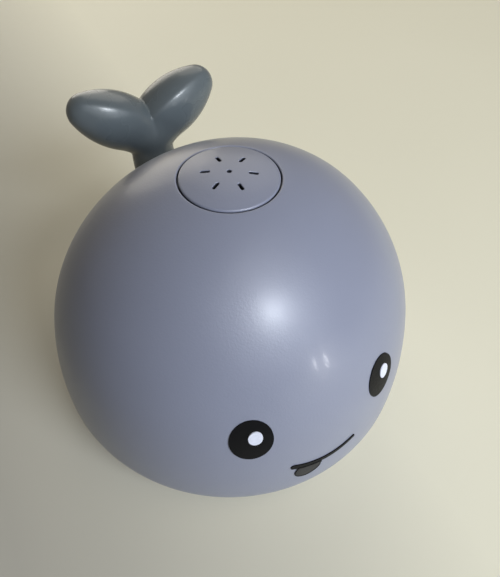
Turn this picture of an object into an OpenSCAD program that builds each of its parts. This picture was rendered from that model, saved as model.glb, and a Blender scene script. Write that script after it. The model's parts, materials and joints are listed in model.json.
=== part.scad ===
// Whale-shaped bath toy that floats, draws water in below and sprays it from a cap on its crown.
// Millimetres. Z is up, the face looks along -Y and the base rests on Z = 0.

/* [Body] */
// Half width of the body
body_r = 50; // [46:0.5:56]
// Depth of the body behind its middle
rear_d = 44.5; // [43:0.5:50]
// Height of the body
body_h = 72; // [71:0.5:80]
// Height at which the body is widest
wide_z = 12.6; // [11:0.1:15]
// Angle above level at which the bowed side wall runs into the round crown
shoulder_angle = 12.7; // [8:0.1:20]
// How far the rounded foot draws in below the widest height
foot_in = 8.7; // [6:0.1:11]
// Wall of the shell and floor of the base
wall = 2.2; // [1.8:0.1:2.6]
// Height of the joint between shell and base
seam_z = 6; // [5.2:0.1:7]

/* [Spray cap] */
// Radius of the spray cap
cap_r = 11.5; // [11:0.1:14]
// Gap round the spray cap
cap_gap = 0.4; // [0.3:0.05:0.8]
// Thickness of the cap at its edge
cap_rim_t = 2.2; // [1.6:0.1:3]
// Wall of the cap's skirt and roof
cap_wall = 1.6; // [1.2:0.1:2.2]
// Depth of the cap's skirt
cap_skirt_h = 8; // [6:0.5:10]
// Radius of the ring of spray slots
slot_ring_r = 5.45; // [4:0.05:7]
// Number of spray slots
slot_count = 6; // [4:1:8]
// Length of a spray slot
slot_l = 2.2; // [1.5:0.1:3]
// Width of a spray slot
slot_w = 0.75; // [0.5:0.05:1.2]
// Radius of the hole in the middle
jet_r = 0.55; // [0.4:0.05:1]

/* [Tail] */
// Radius of the tail's stem
stem_r = 7.2; // [6:0.1:8.5]
// Height at which the stem leaves the body
stem_z = 32; // [30:0.5:34]
// Distance of the stem's upper end behind the body's middle
stem_y = 55; // [53:0.5:60]
// Half length of a fluke lobe
lobe_l = 16.3; // [14:0.1:18]
// Radius of a fluke lobe at its middle
lobe_r = 8.7; // [7.5:0.1:9.5]
// Radius of the rounded tip of a lobe
lobe_tip_r = 5.5; // [4:0.1:6.5]
// Upward slant of a lobe in degrees
lobe_slant = 32; // [25:1:40]
// Sideways distance of a lobe's middle from the stem
lobe_x = 8.6; // [7.5:0.1:10]
// Distance of a lobe's middle behind the stem's upper end
lobe_y = 2.6; // [0:0.1:4]
// Height of a lobe's middle
lobe_z = 54.3; // [52:0.1:57]

/* [Face] */
// Width of a printed eye
eye_w = 9.8; // [7:0.1:13]
// Height of a printed eye
eye_h = 11.8; // [8:0.1:14]
// Sideways distance of an eye's middle
eye_x = 17.3; // [14:0.1:20]
// Height of an eye's middle
eye_z = 36.4; // [32:0.1:42]
// Width of the glint in an eye
glint_w = 3.2; // [2:0.1:4.5]
// Height of the glint in an eye
glint_h = 3.8; // [2.5:0.1:5.5]
// Sideways place of the glint in an eye
glint_x = 0.85; // [0:0.05:2]
// Height of the glint above the eye's middle
glint_up = 1.15; // [0:0.05:2]
// Half width of the smile
mouth_w = 8.4; // [6:0.1:11]
// Rise of the smile from its middle to its ends
mouth_rise = 1.4; // [1:0.1:3]
// Height of the middle of the smile
mouth_z = 21.3; // [19:0.1:25]
// Thickness of the smile's line at its middle
mouth_t = 1.35; // [0.6:0.05:1.8]
// How far the inner edge of that line is shifted, so that it thins out to one side
mouth_taper = 0.8; // [0:0.1:1]
// Half length of the tongue
tongue_l = 3.5; // [3:0.1:5]
// Half breadth of the tongue
tongue_w = 3; // [2:0.1:3.2]
// Thickness of a print
print_t = 0.2; // [0.1:0.01:0.3]

/* [Base] */
// Height of the lip that stands into the shell
lip_h = 4; // [3:0.1:6]
// Thickness of that lip
lip_t = 1.4; // [1:0.1:1.6]
// Width of the sealing ring in the seam
gasket_w = 0.9; // [0.7:0.05:1.1]
// Thickness of the sealing ring
gasket_t = 0.6; // [0.4:0.05:0.9]
// Sideways place of the base screws
screw_x = 26.5; // [25:0.1:28]
// Front and back place of the base screws
screw_y = 21; // [20:0.1:22]
// Radius of a base screw
screw_r = 1.25; // [1:0.05:1.5]
// Length of a base screw under its head
screw_l = 14; // [10:0.5:16]
// Radius of a base screw's head
screw_head_r = 2.7; // [2.2:0.1:3]
// Radius of the posts round the base screws
post_r = 4.8; // [4.4:0.1:5.2]
// Radius of the bosses in the shell
boss_r = 3.6; // [3:0.1:4.2]
// Length of the bosses in the shell
boss_l = 18; // [17:0.5:24]
// Thickness of the webs that carry the bosses
web_t = 1.8; // [1.2:0.1:2.4]

/* [Battery] */
// Radius of a cell
cell_r = 5.25; // [5:0.05:5.4]
// Height from the top of the battery well to the crown
well_room = 18.9; // [17:0.1:21]
// Distance of the battery well behind the middle
well_y = 17.5; // [17:0.1:18]
// Wall of the battery well
well_wall = 1.5; // [1.2:0.1:1.7]
// Radius of the well's mouth
mouth_bore_r = 14; // [13.6:0.1:14.4]
// Reach of the bayonet lugs past the cap's plug
lug_reach = 1.9; // [1.4:0.1:2.1]
// Turn of the battery cap in degrees
lug_turn = 45; // [30:5:60]
// Height of the battery cap's plug
plug_h = 5.2; // [5:0.1:5.6]

/* [Pump] */
// Distance of the pump in front of the middle
pump_d = 17; // [16:0.1:18]
// Radius of the pump's housing
pump_r = 13.6; // [13:0.1:14]
// Wall of the pump's housing
pump_wall = 1.8; // [1.4:0.1:2.2]
// Height of the pump's chamber
chamber_h = 6; // [5.5:0.1:7]
// Radius of the impeller
impeller_r = 9.4; // [8:0.1:10.5]
// Number of impeller blades
blade_count = 6; // [4:1:8]
// Radius of the rotor's shaft
shaft_r = 1; // [0.8:0.05:1.2]
// Radius of the motor's can
motor_r = 7.7; // [7.2:0.1:8.2]
// Length of the motor's can
motor_l = 17; // [15:0.5:20]
// Radius of the hose spigots
spigot_r = 2.3; // [2:0.05:2.6]
// Wall of the hose
hose_wall = 1.1; // [0.8:0.05:1.3]

/* [Circuit board] */
// Sideways distance of the board from the middle
board_d = 28; // [27:0.1:29]
// Width of the board
board_w = 15; // [13:0.5:16]
// Length of the board
board_l = 24; // [22:0.5:25]
// Thickness of the board
board_t = 1.6; // [1:0.1:2]
// Height of the board
board_z = 10; // [8:0.5:14]

/* [Hidden] */
$fn = 96;
// Clearance between fixed pieces
fit_gap = 0.1;
// Clearance between moving pieces
run_gap = 0.4;
// Clearance of the shaft in its seal
shaft_gap = 0.05;
// How far cuts run past a face
overrun = 1;

// Arcs of the body's profile: a crown, a bowed side wall and a rounded foot
dome_h = body_h - wide_z;
bow_excess = (dome_h - body_r)/(1 + tan(shoulder_angle) - 1/cos(shoulder_angle));
side_bow_r = body_r + bow_excess;
crown_z = wide_z + bow_excess*tan(shoulder_angle);
crown_r = body_h - crown_z;
shoulder_z = crown_z + crown_r*sin(shoulder_angle);
foot_arc_r = (wide_z*wide_z + foot_in*foot_in)/(2*foot_in);
reach = body_h + body_r;
shoulder_rise = reach*tan(shoulder_angle);

// Half width of the body at a height on its crown or side
function side_r(z) = z > shoulder_z
    ? sqrt(pow(crown_r, 2) - pow(z - crown_z, 2))
    : body_r - side_bow_r + sqrt(pow(side_bow_r, 2) - pow(z - wide_z, 2));

// Spray cap and the seat that it plugs into
cap_hole_r = cap_r + cap_gap;
cap_edge_z = crown_z + sqrt(crown_r*crown_r - cap_r*cap_r);
cap_under_z = cap_edge_z - cap_rim_t;
cap_foot_z = cap_under_z - cap_skirt_h;
skirt_inset = 0.6;
skirt_r = cap_r - skirt_inset;
ring_section_r = 0.8;
seat_r = skirt_r + run_gap;
seat_wall = 2.4;
seat_floor_t = 2;
seat_floor_z = cap_foot_z - run_gap;
seat_under_z = seat_floor_z - seat_floor_t;
spigot_l = 8;
spigot_wall = 0.8;
cap_ring_share = 0.4;
cap_ring_z = cap_foot_z + cap_ring_share*cap_skirt_h;

// Tail stem, its root and its socket in the shell
neck_z = lobe_z - lobe_x*tan(lobe_slant);
neck_swell = 0.3;
lobe_spin = 90;
root_r = 5.2;
socket_wall = 3.1;
socket_depth = 5;
seat_rise = 1.6;
tail_screw_r = 1.5;
tail_screw_head_r = 3;
tail_screw_head_t = 1.5;
tail_screw_l = 10.5;
tail_washer_t = 0.8;
socket_r = root_r + fit_gap + socket_wall;
tail_washer_r = socket_r - socket_wall/2;
rear_y_at_stem = side_r(stem_z)*rear_d/body_r;
tail_seat_y = rear_y_at_stem + seat_rise;
socket_y = rear_y_at_stem - socket_depth;
root_lap = 1;
stem_run = stem_y - tail_seat_y;
stem_climb = neck_z - stem_z;
stem_bend_r = (stem_run*stem_run + stem_climb*stem_climb)/(2*stem_run);

// Face prints, laid on the front of the body
print_lift = 0.02;
eye_turn = asin(eye_x/side_r(eye_z));
smile_r = (mouth_w*mouth_w + mouth_rise*mouth_rise)/(2*mouth_rise);
tongue_x_share = 0.544;
tongue_drop_share = 0.6;
tongue_slant = 20.5;

// Seam between shell and base
lip_gap = 0.25;
lip_foot_z = wall + lip_gap + lip_t;
gasket_inset_share = 0.3;
gasket_inset = gasket_inset_share*wall;
screw_head_t = 1.6;
screw_sink = 2.6;
post_top_z = seam_z + lip_h/2;
web_rise = 3;

// Battery well, from the turn cap upwards
cap_sink = 0.8;
plug_top_z = cap_sink + plug_h;
plug_r = mouth_bore_r - run_gap;
lug_r = plug_r + lug_reach;
lug_t = 1.4;
lug_z = cap_sink + lug_t;
lug_angle = 24;
lug_way = 3;
groove_r = lug_r + run_gap;
bezel_t = 1.6;
mouth_boss_r = groove_r + bezel_t;
mouth_top_z = plug_top_z + run_gap;
battery_ring_r = 0.7;
battery_ring_z = plug_top_z - 2*battery_ring_r;
contact_t = 0.4;
cell_gap = 0.3;
cell_nub_r = 1.9;
cell_nub_h = 0.8;
cell_count = 3;
cluster_r = (2*cell_r + cell_gap)/sqrt(cell_count);
well_r = cluster_r + cell_r + cell_gap;
cell_z = plug_top_z + contact_t + fit_gap;
well_top_z = body_h - well_room;
well_roof_z = well_top_z - well_wall;
cell_l = well_roof_z - contact_t - 2*fit_gap - cell_z;
contact_r = well_r - cell_gap;
coin_l = 13;
coin_w = 2;
coin_depth = 1.4;

// Pump, from the inlet upwards
filter_r = 8.6;
filter_t = 1.4;
collar_t = 1.6;
sump_depth = 0.8;
inlet_r = 1.1;
inlet_rings = [3.2, 6.4];
inlet_counts = [6, 12];
cover_z = 5.2;
cover_t = 1.6;
cover_top_z = cover_z + cover_t;
inlet_eye_r = 3.4;
roof_t = 2.8;
roof_z = cover_top_z + chamber_h;
roof_top_z = roof_z + roof_t;
chamber_r = pump_r - pump_wall;
ear_r = 3;
ear_ring_r = 16.6;
ear_t = 3;
ear_angles = [160, 250, 340];
ear_screw_r = 1.2;
ear_screw_head_r = 2.3;
ear_screw_head_t = 1.5;
ear_screw_l = 7;
duct_offset = 7.2;
duct_y = duct_offset - pump_d;
duct_z = cover_top_z + chamber_h/2;
duct_r = 3.2;
duct_bore_r = 1.7;
outlet_x = 17;
outlet_top_z = duct_z + duct_r + spigot_l;
hub_r = 2.6;
blade_t = 1;
blade_bow_r = 8;
disc_t = 1.2;
impeller_z = cover_top_z + run_gap;
blade_h = chamber_h - disc_t - 2*run_gap;
impeller_top_z = impeller_z + blade_h + disc_t;
seal_r = 3.9;
seal_t = 1.8;
rim_t = 1.6;
rim_h = 4;
can_t = 0.8;
end_cap_t = 2.4;
bearing_r = 2.4;
bearing_h = 1.4;
terminal_w = 2.4;
terminal_t = 0.5;
terminal_h = 4;
terminal_share = 0.6;
armature_r = 4.4;
armature_l = 9;
armature_slots = 3;
armature_slot_w = 1.2;
magnet_t = 1.2;
magnet_angle = 110;
motor_top_z = roof_top_z + motor_l;
armature_z = roof_top_z + (motor_l - armature_l)/2;
shaft_top_z = motor_top_z + bearing_h;

// Hose from the pump's outlet to the seat under the cap
hose_in_r = spigot_r + fit_gap;
hose_r = hose_in_r + hose_wall;
hose_span = norm([outlet_x, duct_y]);
hose_foot_z = duct_z + duct_r + fit_gap;
hose_top_z = seat_under_z - fit_gap;
hose_bend_z = outlet_top_z + fit_gap;
hose_bend_top_z = seat_under_z - spigot_l - fit_gap;
hose_rise = hose_bend_top_z - hose_bend_z;
hose_turn = 2*atan(hose_span/hose_rise);
hose_bend_r = hose_rise/(2*sin(hose_turn));
hose_steps = 10;
hose_sides = 16;

// Circuit board with its sensing pins through the base
board_post_r = 2.6;
board_screw_r = 1;
board_screw_head_r = 2.1;
board_screw_head_t = 1.3;
board_screw_l = 6;
board_screw_share = 0.39;
pin_r = 0.9;
pin_head_r = 2;
pin_head_t = 0.8;
pin_sink = 0.6;
pin_share = 0.3;
chip_size = [5, 6, 1.6];
capacitor_r = 2.4;
capacitor_h = 8;
capacitor_share = 0.24;
transistor_size = [4.4, 2.4, 4.4];
transistor_share = 0.24;

body_color = [0.55, 0.57, 0.66];
tail_color = [0.46, 0.49, 0.55];
ink_color = [0.05, 0.05, 0.06];
tongue_color = [0.27, 0.26, 0.26];
steel_color = [0.72, 0.72, 0.74];
rubber_color = [0.16, 0.16, 0.17];
white_color = [0.92, 0.92, 0.92];

// Half outline of the body, drawn in from its outside by inset
module profile(inset) {
    intersection() {
        translate([0, crown_z]) circle(crown_r - inset);
        polygon([[0, wide_z], [reach, wide_z + shoulder_rise], [reach, 2*reach], [0, 2*reach]]);
    }
    intersection() {
        translate([body_r - side_bow_r, wide_z]) circle(side_bow_r - inset);
        polygon([[0, wide_z], [reach, wide_z], [reach, crown_z + shoulder_rise], [0, crown_z]]);
    }
    intersection() {
        translate([body_r - foot_arc_r, wide_z]) circle(foot_arc_r - inset);
        translate([body_r - foot_arc_r, inset]) square([reach, wide_z - inset]);
    }
    translate([0, inset]) square([body_r - foot_arc_r, wide_z - inset]);
}

// Body drawn in by inset: a turned front half and a shallower rear half
module form(inset) {
    rotate([0, 0, 180]) rotate_extrude(angle = 180) profile(inset);
    scale([1, (rear_d - inset)/(body_r - inset), 1]) rotate_extrude(angle = 180) profile(inset);
}

// Everything between two heights
module slab(low, high) {
    translate([-reach, -reach, low]) cube([2*reach, 2*reach, high - low]);
}

// Upright tube open at both ends
module tube(outer, inner, low, high) {
    translate([0, 0, low]) difference() {
        cylinder(r = outer, h = high - low);
        translate([0, 0, -overrun]) cylinder(r = inner, h = high - low + 2*overrun);
    }
}

// Upright rod between two heights
module rod(r, low, high) {
    translate([0, 0, low]) cylinder(r = r, h = high - low);
}

// Round ring of round section lying flat
module ring(mid_r, section_r, z) {
    translate([0, 0, z]) rotate_extrude() translate([mid_r, 0]) circle(section_r);
}

// The four places of the base screws
module at_screws() {
    for (sx = [-1, 1], sy = [-1, 1]) translate([sx*screw_x, sy*screw_y, 0]) children();
}

// The places of the ears on the pump
module at_ears() {
    for (a = ear_angles) rotate([0, 0, a]) translate([ear_ring_r, 0, 0]) children();
}

module at_pump() {
    translate([0, -pump_d, 0]) children();
}

module at_well() {
    translate([0, well_y, 0]) children();
}

module at_board() {
    translate([-board_d, 0, 0]) children();
}

// Stands a child that points up so that it points backwards from the stem's root
module at_root(y) {
    translate([0, y, stem_z]) rotate([-90, 0, 0]) children();
}

module body_shell() {
    color(body_color) difference() {
        union() {
            intersection() {
                difference() {
                    form(0);
                    form(wall);
                }
                slab(seam_z, reach);
            }
            intersection() {
                form(wall/2);
                union() {
                    at_screws() rod(boss_r, post_top_z, post_top_z + boss_l);
                    for (sx = [-1, 1], sy = [-1, 1]) boss_web(sx, sy);
                }
            }
            at_root(socket_y) cylinder(r = socket_r, h = tail_seat_y - socket_y);
        }
        rod(cap_hole_r, cap_foot_z, body_h + overrun);
        at_root(socket_y - overrun) cylinder(r = root_r + fit_gap, h = 2*socket_depth + 2*overrun);
        at_screws() rod(screw_r, post_top_z - overrun, post_top_z + boss_l - wall);
    }
}

// Web from a screw boss out to the side wall
module boss_web(sx, sy) {
    translate([sx*screw_x, sy*screw_y, post_top_z + web_rise])
        rotate([0, 0, atan2(sy*screw_y, sx*screw_x)])
            translate([0, -web_t/2, 0]) cube([body_r, web_t, boss_l - web_rise]);
}

module base_tray() {
    color(body_color) difference() {
        union() {
            intersection() {
                difference() {
                    form(0);
                    form(wall);
                }
                slab(0, seam_z);
            }
            base_rim(wall/2, lip_foot_z + lip_gap, seam_z);
            base_rim(wall + lip_gap, seam_z - gasket_t, seam_z + lip_h);
            at_screws() rod(post_r, wall/2, post_top_z - fit_gap);
            intersection() {
                form(wall/2);
                at_well() rod(mouth_boss_r, wall/2, mouth_top_z + well_wall);
            }
            at_well() rod(well_r + well_wall, wall/2, well_top_z);
            at_pump() tube(filter_r + fit_gap + collar_t, filter_r + fit_gap, wall/2, cover_z);
            at_pump() at_ears() rod(ear_r, wall/2, cover_z);
            at_board() for (s = [-1, 1]) {
                translate([0, s*board_screw_share*board_l, 0]) rod(board_post_r, wall/2, board_z);
            }
        }
        gasket_ring(fit_gap);
        at_screws() {
            rod(screw_head_r + run_gap, -overrun, screw_sink + screw_head_t);
            rod(screw_r + fit_gap, -overrun, post_top_z + overrun);
        }
        at_well() well_cuts();
        at_pump() inlet_cuts();
        at_pump() at_ears() rod(ear_screw_r, cover_z + ear_t - ear_screw_l, cover_z + overrun);
        at_board() board_cuts();
    }
}

// Ring along the seam from inset inwards to the inside of the lip
module base_rim(inset, low, high) {
    intersection() {
        difference() {
            form(inset);
            form(wall + lip_gap + lip_t);
        }
        slab(low, high);
    }
}

// Bore for the cells, mouth, bayonet groove and the two ways into it
module well_cuts() {
    rod(well_r, mouth_top_z - overrun, well_roof_z);
    rod(mouth_bore_r, -overrun, mouth_top_z);
    rod(groove_r, lug_z - run_gap, lug_z + lug_t + run_gap);
    intersection() {
        rod(groove_r, -overrun, lug_z + lug_t);
        rotate([0, 0, lug_turn]) lug_sector(lug_angle + 2*lug_way);
    }
}

// Opposite wedges that hold the bayonet lugs
module lug_sector(angle) {
    for (a = [0, 180]) rotate([0, 0, a - angle/2])
        rotate_extrude(angle = angle) square([reach, reach]);
    for (a = [0, 180]) rotate([180, 0, a + angle/2])
        rotate_extrude(angle = angle) square([reach, overrun]);
}

// Sunk field of inlet holes under the pump
module inlet_cuts() {
    rod(filter_r, -overrun, sump_depth);
    rod(inlet_r, -overrun, wall + overrun);
    for (k = [0:len(inlet_rings) - 1], i = [0:inlet_counts[k] - 1]) {
        rotate([0, 0, 360*i/inlet_counts[k]]) translate([inlet_rings[k], 0, 0])
            rod(inlet_r, -overrun, wall + overrun);
    }
}

// Screw holes and sensing-pin holes under the board
module board_cuts() {
    for (s = [-1, 1]) {
        translate([0, s*board_screw_share*board_l, 0])
            rod(board_screw_r, board_z + board_t - board_screw_l, board_z + overrun);
        translate([s*pin_share*board_w, 0, 0]) {
            rod(pin_head_r + run_gap, -overrun, pin_sink + pin_head_t);
            rod(pin_r + fit_gap, -overrun, board_z);
        }
    }
}

// Sealing ring in the seam, thickened all round by extra
module gasket_ring(extra) {
    intersection() {
        difference() {
            form(gasket_inset - extra);
            form(gasket_inset + gasket_w + extra);
        }
        slab(seam_z - gasket_t - extra, seam_z + extra);
    }
}

module base_gasket() {
    color(rubber_color) gasket_ring(0);
}

module base_screws() {
    color(steel_color) at_screws() {
        rod(screw_head_r, screw_sink, screw_sink + screw_head_t - fit_gap);
        rod(screw_r - fit_gap, screw_sink, screw_sink + screw_head_t + screw_l);
    }
}

// Domed disc with a skirt that plugs into the seat
module spray_cap() {
    color(body_color) difference() {
        union() {
            intersection() {
                form(0);
                rod(cap_r, cap_under_z, body_h + overrun);
            }
            rod(skirt_r, cap_foot_z, cap_under_z + cap_rim_t/2);
        }
        rod(skirt_r - cap_wall - ring_section_r, cap_foot_z - overrun, cap_under_z);
        ring(skirt_r + run_gap - ring_section_r, ring_section_r + fit_gap, cap_ring_z);
        rod(jet_r, cap_foot_z, body_h + overrun);
        for (i = [0:slot_count - 1]) rotate([0, 0, 360*(i + 1/2)/slot_count]) slot_cut();
    }
}

// Radial slot with round ends
module slot_cut() {
    translate([slot_ring_r, 0, cap_foot_z]) linear_extrude(body_h - cap_foot_z + overrun) {
        square([slot_l - slot_w, slot_w], center = true);
        for (s = [-1, 1]) translate([s*(slot_l - slot_w)/2, 0]) circle(slot_w/2);
    }
}

module cap_o_ring() {
    color(rubber_color) ring(skirt_r + run_gap - ring_section_r - shaft_gap, ring_section_r, cap_ring_z);
}

// Cup under the crown with the spigot that takes the hose
module nozzle_seat() {
    color(white_color) difference() {
        union() {
            intersection() {
                form(wall + fit_gap);
                rod(seat_r + seat_wall, seat_under_z, body_h);
            }
            rod(spigot_r, seat_under_z - spigot_l, seat_floor_z);
        }
        rod(seat_r, seat_floor_z, body_h);
        rod(spigot_r - spigot_wall, seat_under_z - spigot_l - overrun, seat_floor_z + overrun);
    }
}

// Half outline of a spindle with round tips, to be turned about its length
module spindle_outline(half_l, r, tip_r) {
    flank_r = (half_l*half_l - 2*half_l*tip_r + r*r)/(2*(r - tip_r));
    tip_z = half_l - tip_r;
    rise = reach*tan(atan2(tip_z, flank_r - r));
    intersection() {
        translate([r - flank_r, 0]) circle(flank_r);
        polygon([[0, -tip_z], [reach, -tip_z - rise], [reach, tip_z + rise], [0, tip_z]]);
    }
    for (s = [-1, 1]) intersection() {
        translate([0, s*tip_z]) circle(tip_r);
        polygon([[0, s*tip_z], [reach, s*(tip_z + rise)], [0, s*(tip_z + rise)]]);
    }
}

// Two lobes on a stem that bends up from its seat on the body
module tail_fluke() {
    color(tail_color) difference() {
        union() {
            for (s = [-1, 1]) translate([s*lobe_x, stem_y + lobe_y, lobe_z])
                rotate([0, s*(90 - lobe_slant), 0]) rotate([0, 0, lobe_spin])
                    rotate_extrude() spindle_outline(lobe_l, lobe_r, lobe_tip_r);
            translate([0, stem_y, neck_z]) sphere(stem_r + neck_swell);
            intersection() {
                translate([0, stem_y - stem_bend_r, neck_z]) rotate([90, 0, 90])
                    rotate_extrude(angle = 90, start = -90) translate([stem_bend_r, 0]) circle(stem_r);
                translate([-reach, tail_seat_y + fit_gap, 0]) cube([2*reach, reach, reach]);
            }
            at_root(socket_y) cylinder(r = root_r, h = tail_seat_y - socket_y + root_lap);
        }
        at_root(socket_y - overrun) cylinder(r = tail_screw_r, h = tail_screw_l + overrun);
    }
}

module tail_washer() {
    color(steel_color) at_root(socket_y - fit_gap - tail_washer_t)
        tube(tail_washer_r, tail_screw_r + fit_gap, 0, tail_washer_t);
}

module tail_screw() {
    color(steel_color) at_root(socket_y - 2*fit_gap - tail_washer_t) {
        rod(tail_screw_head_r, -tail_screw_head_t, 0);
        rod(tail_screw_r - fit_gap, -tail_screw_head_t, tail_screw_l);
    }
}

// Thin skin over the front of the body, from lift to lift plus thickness
module front_skin(lift, thickness) {
    rotate([0, 0, 180]) rotate_extrude(angle = 180) difference() {
        profile(-lift - thickness);
        profile(-lift);
    }
}

// Cuts a flat outline through the front skin, looking straight at the face
module print_on_front(turn, lift, thickness) {
    intersection() {
        front_skin(lift, thickness);
        rotate([90, 0, turn]) linear_extrude(2*body_r) children();
    }
}

module oval(w, h) {
    scale([w/2, h/2]) circle(1);
}

module eye(side) {
    color(ink_color) print_on_front(side*eye_turn, print_lift, print_t)
        translate([0, eye_z]) oval(eye_w, eye_h);
}

module left_eye() {
    eye(1);
}

module right_eye() {
    eye(-1);
}

module eye_glints() {
    color(white_color) for (side = [-1, 1])
        print_on_front(side*eye_turn, 2*print_lift + print_t, print_t)
            translate([glint_x, eye_z + glint_up]) oval(glint_w, glint_h);
}

// Ring sector of the smile with round ends, as an outline
module smile(thickness) {
    half = asin(mouth_w/smile_r);
    end_shift = mouth_taper*mouth_w/smile_r;
    translate([0, mouth_z + smile_r]) {
        intersection() {
            difference() {
                circle(smile_r + thickness/2);
                translate([mouth_taper, 0]) circle(smile_r - thickness/2);
            }
            polygon([[0, 0], [-reach*sin(half), -reach*cos(half)], [reach*sin(half), -reach*cos(half)]]);
        }
        for (s = [-1, 1]) rotate(s*half)
            translate([0, -smile_r - s*end_shift/2]) circle((thickness - s*end_shift)/2);
    }
}

module mouth_line() {
    color(ink_color) print_on_front(0, print_lift, print_t) smile(mouth_t);
}

module tongue() {
    color(tongue_color) print_on_front(0, print_lift, print_t) difference() {
        translate([-tongue_x_share*mouth_w, mouth_z - tongue_drop_share*tongue_w])
            rotate(tongue_slant) oval(2*tongue_l, 2*tongue_w);
        smile(mouth_t + 2*fit_gap);
        translate([0, mouth_z + smile_r]) circle(smile_r);
    }
}

// Round cap with a coin slot, a plug and two bayonet lugs
module battery_cap() {
    color(body_color) at_well() difference() {
        union() {
            rod(plug_r, cap_sink, plug_top_z);
            intersection() {
                rod(lug_r, lug_z, lug_z + lug_t);
                lug_sector(lug_angle);
            }
        }
        ring(mouth_bore_r - battery_ring_r, battery_ring_r + fit_gap, battery_ring_z);
        translate([-coin_l/2, -coin_w/2, cap_sink - overrun]) cube([coin_l, coin_w, coin_depth + overrun]);
    }
}

module battery_o_ring() {
    color(rubber_color) at_well()
        ring(mouth_bore_r - battery_ring_r - shaft_gap, battery_ring_r, battery_ring_z);
}

module cap_contact() {
    color(steel_color) at_well() rod(contact_r, plug_top_z, plug_top_z + contact_t);
}

module well_contact() {
    color(steel_color) at_well() rod(contact_r, well_roof_z - contact_t, well_roof_z);
}

module battery_cells() {
    color([0.75, 0.55, 0.2]) at_well() for (i = [0:cell_count - 1])
        rotate([0, 0, 360*i/cell_count + 90]) translate([cluster_r, 0, cell_z]) {
            rod(cell_r, 0, cell_l - cell_nub_h);
            rod(cell_nub_r, 0, cell_l);
        }
}

module inlet_filter() {
    color(rubber_color) at_pump() rod(filter_r, wall, wall + filter_t);
}

module pump_cover() {
    color(white_color) at_pump() difference() {
        union() {
            rod(pump_r, cover_z, cover_top_z);
            at_ears() rod(ear_r, cover_z, cover_top_z);
            for (a = ear_angles) ear_arm(a, cover_z, cover_top_z);
        }
        rod(inlet_eye_r, cover_z - overrun, cover_top_z + overrun);
        at_ears() rod(ear_screw_r + fit_gap, cover_z - overrun, cover_top_z + overrun);
    }
}

// Arm that carries an ear on the rim of the pump
module ear_arm(a, low, high) {
    rotate([0, 0, a]) translate([pump_r - pump_wall, -ear_r, low])
        cube([ear_ring_r - pump_r + pump_wall, 2*ear_r, high - low]);
}

// Chamber with its roof, motor rim, ears and tangent outlet
module pump_housing() {
    color(white_color) at_pump() difference() {
        union() {
            rod(pump_r, cover_top_z, roof_top_z);
            tube(motor_r + fit_gap + rim_t, motor_r + fit_gap, roof_top_z - overrun, roof_top_z + rim_h);
            at_ears() rod(ear_r, cover_top_z, cover_top_z + ear_t);
            for (a = ear_angles) ear_arm(a, cover_top_z, cover_top_z + ear_t);
            at_outlet() {
                translate([0, 0, duct_z]) rotate([0, -90, 0]) cylinder(r = duct_r, h = outlet_x);
                translate([0, 0, duct_z]) sphere(duct_r);
                rod(spigot_r, duct_z, outlet_top_z);
                rod(duct_r, duct_z, duct_z + duct_r);
            }
        }
        rod(chamber_r, cover_top_z - overrun, roof_z);
        rod(shaft_r + run_gap, roof_z - overrun, roof_top_z + overrun);
        rod(seal_r + fit_gap, roof_top_z - seal_t, roof_top_z + overrun);
        at_ears() rod(ear_screw_r + fit_gap, cover_top_z - overrun, roof_top_z);
        at_outlet() {
            translate([0, 0, duct_z]) rotate([0, -90, 0]) cylinder(r = duct_bore_r, h = outlet_x/2);
            translate([0, 0, duct_z]) sphere(duct_bore_r);
            rod(spigot_r - spigot_wall, duct_z, outlet_top_z + overrun);
        }
    }
}

// Foot of the outlet spigot, seen from the pump's axis
module at_outlet() {
    translate([outlet_x, duct_offset, 0]) children();
}

module pump_screws() {
    color(steel_color) at_pump() at_ears() {
        rod(ear_screw_head_r, cover_top_z + ear_t, cover_top_z + ear_t + ear_screw_head_t);
        rod(ear_screw_r - fit_gap, cover_top_z + ear_t - ear_screw_l,
            cover_top_z + ear_t + ear_screw_head_t/2);
    }
}

module shaft_seal() {
    color(rubber_color) at_pump()
        tube(seal_r, shaft_r + shaft_gap, roof_top_z - seal_t, roof_top_z - fit_gap);
}

// Open impeller: bowed blades under a disc, round a hub
module impeller() {
    color(white_color) at_pump() difference() {
        union() {
            rod(hub_r, impeller_z, impeller_top_z);
            rod(impeller_r, impeller_z + blade_h, impeller_top_z);
            translate([0, 0, impeller_z]) linear_extrude(blade_h) intersection() {
                circle(impeller_r);
                for (i = [0:blade_count - 1]) rotate(360*i/blade_count) blade();
            }
        }
        rod(shaft_r + shaft_gap/2, impeller_z - overrun, impeller_top_z + overrun);
    }
}

// One bowed blade from the hub outwards, as an outline
module blade() {
    intersection() {
        translate([blade_bow_r, 0]) difference() {
            circle(blade_bow_r + blade_t/2);
            circle(blade_bow_r - blade_t/2);
        }
        translate([-blade_t, 0]) square([reach, reach]);
    }
}

module rotor_shaft() {
    color(steel_color) at_pump() rod(shaft_r, impeller_z, shaft_top_z);
}

module armature() {
    color([0.6, 0.35, 0.2]) at_pump() difference() {
        rod(armature_r, armature_z, armature_z + armature_l);
        for (i = [0:armature_slots - 1]) rotate([0, 0, 360*i/armature_slots])
            translate([armature_r/2, -armature_slot_w/2, armature_z - overrun])
                cube([armature_r, armature_slot_w, armature_l + 2*overrun]);
        rod(shaft_r + shaft_gap/2, armature_z - overrun, armature_z + armature_l + overrun);
    }
}

module motor_magnets() {
    color([0.3, 0.3, 0.32]) at_pump() for (s = [0, 180]) rotate([0, 0, s - magnet_angle/2])
        translate([0, 0, armature_z]) rotate_extrude(angle = magnet_angle)
            translate([motor_r - can_t - fit_gap - magnet_t, 0]) square([magnet_t, armature_l]);
}

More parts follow.
